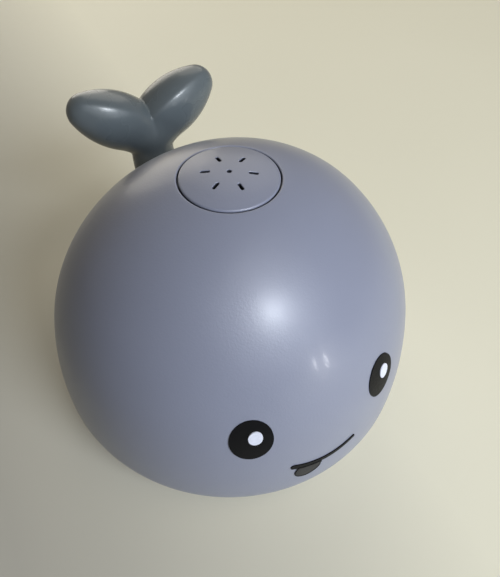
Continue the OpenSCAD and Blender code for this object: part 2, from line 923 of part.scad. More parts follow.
module motor_can() {
    color(steel_color) at_pump() difference() {
        rod(motor_r, roof_top_z, motor_top_z);
        rod(motor_r - can_t, roof_top_z + can_t, motor_top_z + overrun);
        rod(shaft_r + run_gap, roof_top_z - overrun, roof_top_z + 2*can_t);
    }
}

// Plug of the motor with its bearing and two terminals
module motor_end_cap() {
    color(white_color) at_pump() {
        difference() {
            union() {
                rod(motor_r - can_t - fit_gap, motor_top_z - end_cap_t, motor_top_z);
                rod(bearing_r, motor_top_z - end_cap_t, motor_top_z + bearing_h);
            }
            rod(shaft_r + shaft_gap, motor_top_z - end_cap_t - overrun, motor_top_z + bearing_h + overrun);
        }
        for (s = [-1, 1]) translate([s*terminal_share*motor_r - terminal_t/2, -terminal_w/2, motor_top_z])
            cube([terminal_t, terminal_w, terminal_h]);
    }
}

// Middle line of the hose: [run towards the middle, height, lean], up, over in two arcs and up again
function hose_line() = concat(
    [[0, hose_foot_z, 0]],
    [for (i = [0:hose_steps]) let (lean = hose_turn*i/hose_steps)
        [hose_bend_r*(1 - cos(lean)), hose_bend_z + hose_bend_r*sin(lean), lean]],
    [for (i = [1:hose_steps]) let (lean = hose_turn*(1 - i/hose_steps))
        [hose_span - hose_bend_r*(1 - cos(lean)), hose_bend_top_z - hose_bend_r*sin(lean), lean]],
    [[hose_span, hose_top_z, 0]]
);

// Ring of points round one place on that line
function hose_ring(mid, r) = [for (k = [0:hose_sides - 1]) let (a = 360*k/hose_sides)
    [mid[0] + r*cos(a)*cos(mid[2]), r*sin(a), mid[1] - r*cos(a)*sin(mid[2])]];

// Triangles of the band between two rings of points that start at first and second
function band(first, second) = [for (k = [0:hose_sides - 1], half = [0, 1])
    let (next = (k + 1)%hose_sides)
    half == 0 ? [first + k, second + k, first + next] : [first + next, second + k, second + next]];

module outlet_hose() {
    line = hose_line();
    last = len(line) - 1;
    inner = len(line)*hose_sides;
    points = [for (r = [hose_r, hose_in_r], mid = line) each hose_ring(mid, r)];
    walls = [for (i = [0:last - 1]) each concat(
        band(i*hose_sides, (i + 1)*hose_sides),
        band(inner + (i + 1)*hose_sides, inner + i*hose_sides))];
    ends = concat(band(inner, 0), band(last*hose_sides, inner + last*hose_sides));
    color([0.8, 0.8, 0.78]) translate([outlet_x, duct_y, 0]) rotate([0, 0, atan2(-duct_y, -outlet_x)])
        polyhedron(points, concat(walls, ends));
}

module circuit_board() {
    color([0.1, 0.4, 0.2]) at_board() difference() {
        translate([-board_w/2, -board_l/2, board_z]) cube([board_w, board_l, board_t]);
        for (s = [-1, 1]) {
            translate([0, s*board_screw_share*board_l, 0])
                rod(board_screw_r + fit_gap, board_z - overrun, board_z + board_t + overrun);
            translate([s*pin_share*board_w, 0, 0])
                rod(pin_r + fit_gap, board_z - overrun, board_z + board_t + overrun);
        }
    }
}

module board_parts() {
    color(rubber_color) at_board() translate([0, 0, board_z + board_t]) {
        translate([-chip_size.x/2, -chip_size.y/2, 0]) cube(chip_size);
        translate([-capacitor_share*board_w, capacitor_share*board_l, 0]) rod(capacitor_r, 0, capacitor_h);
        translate([transistor_share*board_w, -transistor_share*board_l, transistor_size.z/2])
            cube(transistor_size, center = true);
    }
}

module board_screws() {
    color(steel_color) at_board() for (s = [-1, 1]) translate([0, s*board_screw_share*board_l, 0]) {
        rod(board_screw_head_r, board_z + board_t, board_z + board_t + board_screw_head_t);
        rod(board_screw_r - fit_gap, board_z + board_t - board_screw_l,
            board_z + board_t + board_screw_head_t/2);
    }
}

module sensor_pins() {
    color(steel_color) at_board() for (s = [-1, 1]) translate([s*pin_share*board_w, 0, 0]) {
        rod(pin_head_r, pin_sink, pin_sink + pin_head_t - fit_gap);
        rod(pin_r, pin_sink, board_z + board_t + pin_head_t);
    }
}

body_shell();
base_tray();
base_gasket();
base_screws();
spray_cap();
cap_o_ring();
nozzle_seat();
tail_fluke();
tail_washer();
tail_screw();
left_eye();
right_eye();
eye_glints();
mouth_line();
tongue();
battery_cap();
battery_o_ring();
cap_contact();
well_contact();
battery_cells();
inlet_filter();
pump_cover();
pump_housing();
pump_screws();
shaft_seal();
impeller();
rotor_shaft();
armature();
motor_magnets();
motor_can();
motor_end_cap();
outlet_hose();
circuit_board();
board_parts();
board_screws();
sensor_pins();
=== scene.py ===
import json
import math

import bmesh
import bpy
import numpy as np
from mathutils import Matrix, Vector


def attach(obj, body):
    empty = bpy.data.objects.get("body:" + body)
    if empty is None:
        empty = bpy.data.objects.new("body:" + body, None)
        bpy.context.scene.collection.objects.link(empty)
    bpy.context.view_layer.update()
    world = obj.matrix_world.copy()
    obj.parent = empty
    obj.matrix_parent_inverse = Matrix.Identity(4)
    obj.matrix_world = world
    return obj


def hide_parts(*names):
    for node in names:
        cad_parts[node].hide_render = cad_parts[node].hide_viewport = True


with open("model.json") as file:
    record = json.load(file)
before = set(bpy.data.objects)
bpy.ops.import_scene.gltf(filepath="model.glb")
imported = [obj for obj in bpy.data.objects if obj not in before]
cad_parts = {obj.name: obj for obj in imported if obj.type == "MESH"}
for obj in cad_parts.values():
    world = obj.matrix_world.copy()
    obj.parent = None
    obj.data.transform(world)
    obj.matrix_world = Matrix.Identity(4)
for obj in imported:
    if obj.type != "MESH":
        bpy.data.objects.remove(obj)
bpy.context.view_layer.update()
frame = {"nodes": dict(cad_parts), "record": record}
nodes = frame["nodes"]
scene = bpy.context.scene

MM = 0.001


# Shader helpers

def material(name):
    m = bpy.data.materials.new(name)
    m.use_nodes = True
    return m, m.node_tree, m.node_tree.nodes["Principled BSDF"]


def add(tree, kind, **values):
    n = tree.nodes.new(kind)
    for key, value in values.items():
        if key in n.inputs:
            n.inputs[key].default_value = value
        else:
            setattr(n, key, value)
    return n


def noise(tree, scale, detail=4.0, rough=0.55):
    coord = add(tree, "ShaderNodeTexCoord")
    n = add(tree, "ShaderNodeTexNoise", Scale=scale, Detail=detail, Roughness=rough)
    tree.links.new(coord.outputs["Object"], n.inputs["Vector"])
    return n.outputs["Fac"]


def span(tree, source, low, high, start=0.3, end=0.7):
    r = add(tree, "ShaderNodeMapRange")
    r.inputs["From Min"].default_value = start
    r.inputs["From Max"].default_value = end
    r.inputs["To Min"].default_value = low
    r.inputs["To Max"].default_value = high
    tree.links.new(source, r.inputs["Value"])
    return r.outputs["Result"]


def ramp(tree, source, low, high, start=0.3, end=0.7):
    r = add(tree, "ShaderNodeValToRGB")
    first, last = r.color_ramp.elements
    first.position, first.color = start, (*low, 1)
    last.position, last.color = end, (*high, 1)
    tree.links.new(source, r.inputs["Fac"])
    return r.outputs["Color"]


def multiply(tree, first, second):
    mix = add(tree, "ShaderNodeMix", data_type="RGBA", blend_type="MULTIPLY", Factor=1.0)
    tree.links.new(first, mix.inputs["A"])
    tree.links.new(second, mix.inputs["B"])
    return mix.outputs["Result"]


def bump(tree, shader, source, strength, distance):
    b = add(tree, "ShaderNodeBump", Strength=strength, Distance=distance)
    tree.links.new(source, b.inputs["Height"])
    tree.links.new(b.outputs["Normal"], shader.inputs["Normal"])


def shade(colour, factor):
    return tuple(min(1.0, c*factor) for c in colour)


# Colour that drifts between a darker and a lighter shade of itself
def mottled(tree, source, colour, darker, lighter):
    return ramp(tree, source, shade(colour, darker), shade(colour, lighter))


# Painted shade: darkens a colour down in slots, gaps and corners no wider than about twice the reach
def painted_crevice_shade(tree, source, reach):
    near = add(tree, "ShaderNodeAmbientOcclusion", samples=12, Distance=reach)
    return multiply(tree, source, ramp(tree, near.outputs["AO"], (0.03, 0.03, 0.03), (1, 1, 1), 0.12, 0.55))


# Moulded plastic with slow drifts of tone, cloudy gloss and a fine grain
def plastic(name, colour, rough, grain=0.12, coat=0.0, reach=0.0):
    m, tree, shader = material(name)
    tone = mottled(tree, noise(tree, scale=24.0, detail=3.0), colour, 0.965, 1.03)
    cloud = noise(tree, scale=90.0, detail=2.0)
    fine = noise(tree, scale=2100.0, detail=2.5)
    # With a reach, the colour gets painted shade in its slots, gaps and corners
    tree.links.new(painted_crevice_shade(tree, tone, reach) if reach else tone, shader.inputs["Base Color"])
    tree.links.new(span(tree, cloud, rough - 0.03, rough + 0.03, 0.2, 0.8), shader.inputs["Roughness"])
    bump(tree, shader, fine, strength=grain, distance=0.00008)
    shader.inputs["IOR"].default_value = 1.5
    shader.inputs["Coat Weight"].default_value = coat
    shader.inputs["Coat Roughness"].default_value = 0.10
    return m


# Screen-printed ink: dense, a little glossy, with a faint mesh in its film
def ink(name, colour, rough, gloss=0.5):
    m, tree, shader = material(name)
    film = noise(tree, scale=1400.0, detail=3.0)
    tree.links.new(mottled(tree, film, colour, 0.96, 1.04), shader.inputs["Base Color"])
    tree.links.new(span(tree, film, rough - 0.05, rough + 0.06), shader.inputs["Roughness"])
    bump(tree, shader, film, strength=0.06, distance=0.00005)
    shader.inputs["Specular IOR Level"].default_value = gloss
    return m


def metal(name, colour, rough):
    m, tree, shader = material(name)
    brush = noise(tree, scale=700.0, detail=6.0, rough=0.7)
    tree.links.new(mottled(tree, brush, colour, 0.88, 1.06), shader.inputs["Base Color"])
    tree.links.new(span(tree, brush, rough - 0.08, rough + 0.12), shader.inputs["Roughness"])
    bump(tree, shader, brush, strength=0.15, distance=0.00005)
    shader.inputs["Metallic"].default_value = 1.0
    return m


def rubber(name, colour, rough, grain_scale=1800.0, strength=0.3):
    m, tree, shader = material(name)
    skin = noise(tree, grain_scale, detail=5.0, rough=0.6)
    tree.links.new(mottled(tree, skin, colour, 0.75, 1.3), shader.inputs["Base Color"])
    tree.links.new(span(tree, skin, rough - 0.08, rough + 0.1), shader.inputs["Roughness"])
    bump(tree, shader, skin, strength, distance=0.0001)
    return m


# Materials by the record's slots

BODY = (0.266, 0.276, 0.346)
TAIL = (0.114, 0.132, 0.137)

looks = {
    # The body plastic carries painted shade in its slots, gaps and corners within about a millimetre
    "body": plastic("body_plastic", BODY, 0.35, grain=0.35, coat=0.12, reach=0.0010),
    "tail": plastic("tail_plastic", TAIL, 0.28, grain=0.15, coat=0.20),
    "ink": ink("black_ink", (0.005, 0.005, 0.006), 0.46, 0.08),
    "glint": ink("white_ink", (0.78, 0.78, 0.86), 0.42, 0.3),
    "tongue": ink("grey_ink", (0.044, 0.042, 0.041), 0.46, 0.1),
    "white_plastic": plastic("white_moulding", (0.78, 0.78, 0.76), 0.46),
    "rubber": rubber("black_rubber", (0.020, 0.020, 0.022), 0.62),
    "foam": rubber("filter_foam", (0.035, 0.035, 0.038), 0.85, 900.0, 1.0),
    "hose": rubber("silicone_hose", (0.62, 0.62, 0.58), 0.38, 600.0, 0.1),
    "steel": metal("steel", (0.56, 0.56, 0.58), 0.32),
    "cells": metal("cell_wrap", (0.10, 0.22, 0.12), 0.34),
    "winding": metal("winding_wire", (0.55, 0.26, 0.12), 0.34),
    "magnet": rubber("sintered_magnet", (0.050, 0.050, 0.055), 0.55, 2600.0, 0.5),
    "board": plastic("board_mask", (0.020, 0.14, 0.06), 0.30, grain=0.3),
    "components": plastic("component_resin", (0.020, 0.020, 0.022), 0.50, grain=0.4),
}

for part in frame["record"]["subparts"]:
    o = nodes[part["node"]]
    o.data.materials.clear()
    o.data.materials.append(looks[part["material_slot"]])


# Outline of the body, in millimetres: crown, bowed side and rounded foot

BODY_R, REAR_D, BODY_H, WIDE_Z, FOOT_IN = 50.0, 44.5, 72.0, 12.6, 8.7
WALL, SEAM_Z = 2.2, 6.0
SHOULDER = math.radians(12.7)
EXCESS = (BODY_H - WIDE_Z - BODY_R)/(1 + math.tan(SHOULDER) - 1/math.cos(SHOULDER))
BOW_R = BODY_R + EXCESS
CROWN_Z = WIDE_Z + EXCESS*math.tan(SHOULDER)
CROWN_R = BODY_H - CROWN_Z
FOOT_ARC_R = (WIDE_Z**2 + FOOT_IN**2)/(2*FOOT_IN)


def half_width(z, inset=0.0):
    if z >= CROWN_Z + (CROWN_R - inset)*math.sin(SHOULDER):
        return math.sqrt(max(0.0, (CROWN_R - inset)**2 - (z - CROWN_Z)**2))
    if z >= WIDE_Z:
        return BODY_R - BOW_R + math.sqrt((BOW_R - inset)**2 - (z - WIDE_Z)**2)
    return BODY_R - FOOT_ARC_R + math.sqrt(max(0.0, (FOOT_ARC_R - inset)**2 - (z - WIDE_Z)**2))


def rear_share(inset=0.0):
    return (REAR_D - inset)/(BODY_R - inset)


def polar(r, angle):
    return r*math.cos(angle), r*math.sin(angle)


def turns(n):
    return [2*math.pi*k/n for k in range(n)]


def crown_height(x, y, inset=0.0):
    r = math.hypot(x, y/rear_share(inset) if y > 0 else y)
    return CROWN_Z + math.sqrt((CROWN_R - inset)**2 - r*r)


def crown_lean(angle, r):
    step = 0.01
    near = crown_height(*polar(r - step, angle))
    far = crown_height(*polar(r + step, angle))
    return math.atan2(near - far, 2*step)


# Mesh helpers

def outward_mesh(name, verts, faces):
    mesh = bpy.data.meshes.new(name)
    mesh.from_pydata([tuple(c*MM for c in v) for v in verts], [], faces)
    mesh.validate()
    b = bmesh.new()
    b.from_mesh(mesh)
    bmesh.ops.recalc_face_normals(b, faces=b.faces)
    b.to_mesh(mesh)
    b.free()
    return mesh


def smooth(mesh, sharp):
    mesh.shade_smooth()
    mesh.set_sharp_from_angle(angle=math.radians(sharp))


def build(name, verts, faces, slot, body, stands_for, sharp=40):
    mesh = outward_mesh(name, verts, faces)
    smooth(mesh, sharp)
    o = bpy.data.objects.new(name, mesh)
    o.data.materials.append(looks[slot])
    scene.collection.objects.link(o)
    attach(o, body)
    if stands_for:
        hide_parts(stands_for)
    return o


def band(first, second, n, faces):
    for k in range(n):
        m = (k + 1) % n
        faces.append((first + k, first + m, second + m, second + k))


def loft(loops, closed):
    n = len(loops[0])
    verts = [p for loop in loops for p in loop]
    faces = []
    for i in range(len(loops) - 1):
        band(i*n, (i + 1)*n, n, faces)
    if closed:
        band((len(loops) - 1)*n, 0, n, faces)
    return verts, faces


def capped(loops, first, last):
    verts, faces = loft(loops, False)
    n, end = len(loops[0]), len(verts)
    verts += [first, last]
    foot = (len(loops) - 1)*n
    for k in range(n):
        m = (k + 1) % n
        faces.append((end, m, k))
        faces.append((end + 1, foot + k, foot + m))
    return verts, faces


def joined(*meshes):
    verts, faces = [], []
    for v, f in meshes:
        faces += [tuple(i + len(verts) for i in face) for face in f]
        verts += v
    return verts, faces


def ring(r, z, n, share=1.0):
    out = []
    for a in turns(n):
        x, y = polar(r, a)
        out.append((x, y*share if y > 0 else y, z))
    return out


def on_crown(loop, inset=0.0):
    return [(x, y, crown_height(x, y, inset)) for x, y, _ in loop]


# Points round every ring of the shell and the cap
STEPS = 192


def side_loops(low, high, count, inset=0.0):
    heights = [low + (high - low)*i/count for i in range(count + 1)]
    return [ring(half_width(z, inset), z, STEPS, rear_share(inset)) for z in heights]


# Loops that run over the crown from a wide oval to a round hole
def crown_loops(start_r, end_r, count, inset=0.0):
    loops = []
    for i in range(count + 1):
        t = i/count
        share = rear_share(inset) + (1 - rear_share(inset))*t
        loops.append(on_crown(ring(start_r + (end_r - start_r)*t, 0, STEPS, share), inset))
    return loops


# Loops that roll from the crown's slope into an upright wall: side is 1 for an outer edge and -1 for a hole
def rolled_edge(edge_r, ease, side, shares):
    loops = []
    for t in shares:
        loop = []
        for a in turns(STEPS):
            lean = crown_lean(a, edge_r)
            turn = lean + (side*math.pi/2 - lean)*t
            start_r = edge_r - side*ease*(1 - side*math.sin(lean))
            start_z = crown_height(*polar(start_r, a))
            r = start_r + ease*(math.sin(turn) - math.sin(lean))
            loop.append((*polar(r, a), start_z - ease*(math.cos(lean) - math.cos(turn))))
        loops.append(loop)
    return loops


# Upper shell: rounded rim at the crown's hole, eased edge at the seam, hollow inside

HOLE_R, HOLE_EASE = 11.9, 0.35
SEAM_EASE = 0.25
OVAL_R = 26.0


def shell():
    loops = []
    for k in range(4):
        a = math.radians(30*k)
        r = half_width(SEAM_Z + SEAM_EASE) - SEAM_EASE*(1 - math.sin(a))
        loops.append(ring(r, SEAM_Z + SEAM_EASE*(1 - math.cos(a)), STEPS, rear_share()))
    oval_z = CROWN_Z + math.sqrt(CROWN_R**2 - OVAL_R**2)
    loops += side_loops(SEAM_Z + 2*SEAM_EASE, oval_z, 76)[:-1]
    loops += crown_loops(OVAL_R, HOLE_R + 1.4*HOLE_EASE, 18)[:-1]
    loops += rolled_edge(HOLE_R, HOLE_EASE, -1, [i/8 for i in range(9)])
    inner_r = OVAL_R - WALL/2
    inner_z = CROWN_Z + math.sqrt((CROWN_R - WALL)**2 - inner_r**2)
    loops += crown_loops(inner_r, HOLE_R, 12, WALL)[::-1]
    loops += side_loops(inner_z, SEAM_Z, 40, WALL)[1:]
    return loft(loops, True)


# Collar on the rear wall that the tail's stem sits on

STEM_Z = 32.0
SEAT_Y = half_width(STEM_Z)*REAR_D/BODY_R + 1.6
ROOT_Y = SEAT_Y - 6.6
COLLAR_R, COLLAR_BORE_R, COLLAR_EASE, COLLAR_H = 8.4, 5.3, 0.45, 2.5


def collar():
    stations = [(COLLAR_R, ROOT_Y), (COLLAR_R, SEAT_Y - COLLAR_H), (COLLAR_R, SEAT_Y - COLLAR_EASE)]
    for a in (math.radians(22.5*k) for k in range(1, 5)):
        stations.append((COLLAR_R - COLLAR_EASE*(1 - math.cos(a)), SEAT_Y - COLLAR_EASE*(1 - math.sin(a))))
    stations += [(COLLAR_BORE_R, SEAT_Y), (COLLAR_BORE_R, ROOT_Y)]
    loops = []
    for r, y in stations:
        loops.append([(x, y, STEM_Z + z) for x, z in (polar(r, a) for a in turns(96))])
    return loft(loops, True)


build("body_skin", *joined(shell(), collar()), "body", "body", "body_shell")


# Spray cap: domed disc with an eased edge, skirt with a seal groove, and slots cut through the disc

CAP_R, CAP_EASE, SKIRT_R, CHAMBER_R = 11.6, 0.5, 10.9, 8.5
RIM_R, RIM_T, SKIRT_H = 11.5, 2.2, 8.0
CHAMFER = 0.2
CAP_UNDER = CROWN_Z + math.sqrt(CROWN_R**2 - RIM_R**2) - RIM_T
CAP_FOOT = CAP_UNDER - SKIRT_H
SEAL_R, SEAL_Z, SEAL_SECTION = 10.5, CAP_FOOT + 3.2, 0.9


def cap():
    dome_r = CAP_R - CAP_EASE*(1 - math.sin(crown_lean(0.0, CAP_R)))
    loops = [on_crown(ring(dome_r*(i/40), 0, STEPS)) for i in range(1, 41)]
    loops += rolled_edge(CAP_R, CAP_EASE, 1, [i/10 for i in range(1, 11)])
    stations = [(CAP_R, CAP_UNDER + CHAMFER), (CAP_R - CHAMFER, CAP_UNDER), (SKIRT_R, CAP_UNDER)]
    reach = math.degrees(math.acos((SKIRT_R - SEAL_R)/SEAL_SECTION))
    for i in range(13):
        a = math.radians(reach + (360 - 2*reach)*i/12)
        stations.append((SEAL_R + SEAL_SECTION*math.cos(a), SEAL_Z + SEAL_SECTION*math.sin(a)))
    stations += [(SKIRT_R, CAP_FOOT + CHAMFER), (SKIRT_R - CHAMFER, CAP_FOOT)]
    stations += [(CHAMBER_R, CAP_FOOT), (CHAMBER_R, CAP_UNDER)]
    loops += [ring(r, z, STEPS) for r, z in stations]
    return capped(loops, (0, 0, BODY_H), (0, 0, CAP_UNDER))


# Six slots and the hole in the middle, each with an eased edge

SLOT_COUNT, SLOT_RING_R, SLOT_L, SLOT_W, SLOT_FLARE = 6, 5.45, 2.2, 0.75, 0.12
JET_R, JET_FLARE = 0.55, 0.1
CUT_LIFT, CUT_FLOOR, OVERRUN = 0.12, CAP_FOOT + 6.0, 2.0


# Cutter with a flared mouth that follows the dome. An outline holds points with their outward directions
def cutter(outline, flare):
    mouth = CUT_LIFT + flare
    loops = []
    for grow, height in ((0.0, None), (0.0, -flare), (mouth, CUT_LIFT), (mouth, OVERRUN)):
        loop = []
        for (x, y), (nx, ny) in outline:
            px, py = x + nx*grow, y + ny*grow
            loop.append((px, py, CUT_FLOOR if height is None else crown_height(px, py) + height))
        loops.append(loop)
    mid = [sum(c)/len(outline) for c in zip(*(p for p, _ in outline))]
    return capped(loops, (*mid, CUT_FLOOR), (*mid, BODY_H + OVERRUN))


def slot_outline(turn):
    c, s = math.cos(turn), math.sin(turn)
    out = []
    for end, start in ((1, -90), (-1, 90)):
        for k in range(13):
            nx, ny = polar(1, math.radians(start + 15*k))
            x = SLOT_RING_R + end*(SLOT_L - SLOT_W)/2 + SLOT_W/2*nx
            y = SLOT_W/2*ny
            out.append(((c*x - s*y, s*x + c*y), (c*nx - s*ny, s*nx + c*ny)))
    return out


def jet_outline():
    return [(polar(JET_R, a), polar(1, a)) for a in turns(24)]


# Cuts the slots, and paints shade on their walls with a darker copy of the body plastic
def cut_slots(o):
    cuts = [cutter(slot_outline(2*math.pi*(i + 0.5)/SLOT_COUNT), SLOT_FLARE) for i in range(SLOT_COUNT)]
    cuts.append(cutter(jet_outline(), JET_FLARE))
    tool = bpy.data.objects.new("slot_tool", outward_mesh("slot_tool", *joined(*cuts)))
    scene.collection.objects.link(tool)
    cutting = o.modifiers.new("slots", "BOOLEAN")
    cutting.object, cutting.operation, cutting.solver = tool, "DIFFERENCE", "EXACT"
    bpy.context.view_layer.update()
    mesh = bpy.data.meshes.new_from_object(o.evaluated_get(bpy.context.evaluated_depsgraph_get()))
    o.modifiers.clear()
    o.data = mesh
    bpy.data.objects.remove(tool)
    smooth(mesh, 32)
    # Painted shade: the body plastic at 0.3 of its brightness, with a wider painted crevice shade, for the
    # walls down in the slots
    mesh.materials.append(plastic("slot_wall_painted_shade", shade(BODY, 0.3), 0.5, grain=0.35, reach=0.002))
    # Steep faces round the slots and the jet hole take the painted shade
    for face in mesh.polygons:
        x, y, z = face.center/MM
        if math.hypot(x, y) < SLOT_RING_R + SLOT_L and z > CAP_UNDER and abs(face.normal.z) < 0.45:
            face.material_index = 1


cap_skin = build("cap_skin", *cap(), "body", "spray_cap", "spray_cap")
cut_slots(cap_skin)


# Tail: two lobes and a bent stem run together into one smooth form, meshed from its distance field

LOBE_X, LOBE_Y, LOBE_Z = 8.6, 57.6, 54.3
LOBE_L, LOBE_R, LOBE_TIP_R = 16.3, 8.7, 5.5
LOBE_SLANT = math.radians(32)
STEM_R, STEM_Y, ROOT_R = 7.2, 55.0, 5.2
SEAT_GAP, ROOT_LAP = 0.1, 1.0
NECK_Z = LOBE_Z - LOBE_X*math.tan(LOBE_SLANT)
RUN, CLIMB = STEM_Y - SEAT_Y, NECK_Z - STEM_Z
BEND_R = (RUN**2 + CLIMB**2)/(2*RUN)

# Soft ridge along the front of each lobe, where its upper and its front face meet
RIDGE = np.array([0, -0.66, 0.75])
RIDGE_RISE_SHARE, RIDGE_SPREAD, RIDGE_SOFT = 0.125, 0.95, 0.0018

# How far the stem thins towards its top, and the angle over which it does so
STEM_THIN, STEM_THIN_TURN = 1.5, 0.7

# Ellipsoid that fills the valley between the two lobes in front and behind, below their ridges
HEART_AT = np.array([0.0, 57.0, 47.4])
HEART_R = np.array([7.2, 8.6, 6.5])

# Widths over which the forms run together
LOBE_BLEND, HEART_BLEND, STEM_BLEND = 0.35, 4.0, 1.0

TINY = 1e-6


def lobe_field(p, side):
    axis = np.array([side*math.cos(LOBE_SLANT), 0, math.sin(LOBE_SLANT)])
    q = p - np.array([side*LOBE_X, LOBE_Y, LOBE_Z])
    u = np.abs(q @ axis)
    v = np.sqrt(np.maximum(0, (q**2).sum(1) - u**2))
    crest = RIDGE - axis*(RIDGE @ axis)
    crest /= np.linalg.norm(crest)
    off = np.sqrt(np.arccos(np.clip(q @ crest/np.maximum(v, TINY), -1, 1))**2 + RIDGE_SOFT)
    v = v/(1 + RIDGE_RISE_SHARE*np.clip(1 - off/RIDGE_SPREAD, 0, 1)**2)
    straight = LOBE_L - LOBE_TIP_R
    flank_r = (LOBE_L**2 - 2*LOBE_L*LOBE_TIP_R + LOBE_R**2)/(2*(LOBE_R - LOBE_TIP_R))
    below = v + flank_r - LOBE_R
    at_tip = u*(flank_r - LOBE_R) > below*straight
    return np.where(at_tip, np.hypot(u - straight, v) - LOBE_TIP_R, np.hypot(u, below) - flank_r)


def stem_field(p):
    y, z = p[:, 1] - (STEM_Y - BEND_R), p[:, 2] - NECK_Z
    a = np.clip(np.arctan2(z, y), -math.pi/2, 0)
    r = STEM_R - STEM_THIN*np.clip(1 + a/STEM_THIN_TURN, 0, 1)**2
    gap = np.sqrt(p[:, 0]**2 + (y - BEND_R*np.cos(a))**2 + (z - BEND_R*np.sin(a))**2) - r
    return np.maximum(gap, SEAT_Y + SEAT_GAP - p[:, 1])


def root_field(p):
    r = np.hypot(p[:, 0], p[:, 2] - STEM_Z) - ROOT_R
    return np.maximum(r, np.maximum(ROOT_Y - p[:, 1], p[:, 1] - SEAT_Y - ROOT_LAP))


def heart_field(p):
    q = (p - HEART_AT)/HEART_R
    far = np.linalg.norm(q, axis=1)
    return far*(far - 1)/np.maximum(TINY, np.linalg.norm(q/HEART_R, axis=1))


def run_together(a, b, width):
    h = np.maximum(width - np.abs(a - b), 0)/width
    return np.minimum(a, b) - h*h*width/4


def tail_field(p):
    lobes = run_together(lobe_field(p, 1), lobe_field(p, -1), LOBE_BLEND)
    blade = run_together(lobes, heart_field(p), HEART_BLEND)
    return np.minimum(run_together(blade, stem_field(p), STEM_BLEND), root_field(p))


# Mesh with one point in each grid cell that the surface crosses, at the mean of its edges' crossings
def surface(field, low, high, step):
    low = np.array(low, float)
    count = np.ceil((np.array(high) - low)/step).astype(int) + 1
    axes = [low[i] + step*np.arange(count[i]) for i in range(3)]
    grid = np.stack(np.meshgrid(*axes, indexing="ij"), -1)
    f = field(grid.reshape(-1, 3)).reshape(count)
    cells = count - 1
    total, hits = np.zeros((*cells, 3)), np.zeros(cells)

    def at(o):
        return f[o[0]:o[0] + cells[0], o[1]:o[1] + cells[1], o[2]:o[2] + cells[2]]

    for corner in np.ndindex(2, 2, 2):
        for axis in range(3):
            if corner[axis] == 0:
                beyond = tuple(c + (i == axis) for i, c in enumerate(corner))
                near, far = at(corner), at(beyond)
                cross = (near < 0) != (far < 0)
                place = np.broadcast_to(np.array(corner, float), (*cells, 3)).copy()
                place[..., axis] += np.where(cross, near/np.where(cross, near - far, 1), 0)
                total += place*cross[..., None]
                hits += cross
    used = hits > 0
    index = -np.ones(cells, int)
    index[used] = np.arange(used.sum())
    verts = low + step*(np.argwhere(used) + total[used]/hits[used][:, None])
    return verts, crossed_edges(f, index, cells)


# One four-sided face round each grid edge that the surface crosses
def crossed_edges(f, index, cells):
    faces = []
    for axis in range(3):
        across, up = (axis + 1) % 3, (axis + 2) % 3
        inside = np.moveaxis(f < 0, axis, 0)
        flip = np.moveaxis(inside[:-1] != inside[1:], 0, axis)
        for i in np.argwhere(flip):
            if 0 < i[across] < cells[across] and 0 < i[up] < cells[up]:
                quad = []
                for d1, d2 in ((-1, -1), (0, -1), (0, 0), (-1, 0)):
                    c = i.copy()
                    c[across] += d1
                    c[up] += d2
                    quad.append(int(index[tuple(c)]))
                if f[tuple(i)] >= 0:
                    quad.reverse()
                faces.append(tuple(quad))
    return faces


# Moves points along the field's slope onto the surface
def settle(field, verts, times):
    e = 0.02
    for _ in range(times):
        slope = np.stack([(field(verts + e*d) - field(verts - e*d))/(2*e) for d in np.eye(3)], 1)
        verts = verts - slope*(field(verts)/np.maximum(TINY, (slope**2).sum(1)))[:, None]
    return verts


tail_verts, tail_faces = surface(tail_field, low=(-26, 35.5, 23), high=(26, 68, 75), step=0.6)
tail_verts = settle(tail_field, tail_verts, times=2)
build("tail_skin", tail_verts.tolist(), tail_faces, "tail", "body", "tail_fluke", 50)


# Printed line round the tongue, which runs up into the line of the mouth

LINE_W, LINE_T = 0.26, 0.05
MOUTH_NEAR, MOUTH_LAP = 0.7, 0.30


# Evenly spaced points round the outer face of a printed node
def front_loop(name, count):
    b = bmesh.new()
    b.from_mesh(nodes[name].data)
    middle = Vector((0, 0, CROWN_Z*MM))
    front = {f for f in b.faces if f.normal.dot((f.calc_center_median() - middle).normalized()) > 0.6}
    links = {}
    for e in b.edges:
        if sum(f in front for f in e.link_faces) == 1:
            v, w = e.verts
            links.setdefault(v.index, []).append(w.index)
            links.setdefault(w.index, []).append(v.index)
    place = {v.index: np.array(v.co)/MM for v in b.verts}
    b.free()
    chain = [min(links)]
    while True:
        ahead = [i for i in links[chain[-1]] if i not in chain[-2:] and (i != chain[0] or len(chain) > 2)]
        if not ahead or ahead[0] == chain[0]:
            break
        chain.append(ahead[0])
    path = np.array([place[i] for i in chain + chain[:1]])
    run = np.concatenate([[0], np.cumsum(np.linalg.norm(np.diff(path, axis=0), axis=1))])
    at = np.linspace(0, run[-1], count, endpoint=False)
    return np.stack([np.interp(at, run, path[:, i]) for i in range(3)], 1)


def unit(vectors):
    return vectors/np.linalg.norm(vectors, axis=1)[:, None]


def tongue_rim():
    loop = front_loop("tongue", 160)
    mouth = np.array([v.co for v in nodes["mouth_line"].data.vertices])/MM
    out = unit(loop - np.array([0, 0, CROWN_Z]))
    inward = unit(np.cross(out, np.roll(loop, -1, 0) - np.roll(loop, 1, 0)))
    inward *= np.sign(((loop.mean(0) - loop)*inward).sum())
    gap = np.array([np.linalg.norm(mouth - p, axis=1).min() for p in loop])
    lap = np.where(gap < MOUTH_NEAR, MOUTH_LAP, 0.0)[:, None]
    inner, outer, rise = loop + inward*LINE_W, loop - inward*lap, out*LINE_T
    loops = [inner + rise, outer + rise, outer - rise, inner - rise]
    return loft([loop.tolist() for loop in loops], True)


build("tongue_line", *tongue_rim(), "ink", "body", None)


# Camera of the photograph, fitted to it in pixels

PHOTO_W, PHOTO_H = 500, 577
FOCAL_PX, MIDDLE_X_PX, MIDDLE_Y_PX = 522.29, 229.24, 266.52
SENSOR = 36.0
AIM = Vector((0, 0, 40*MM))


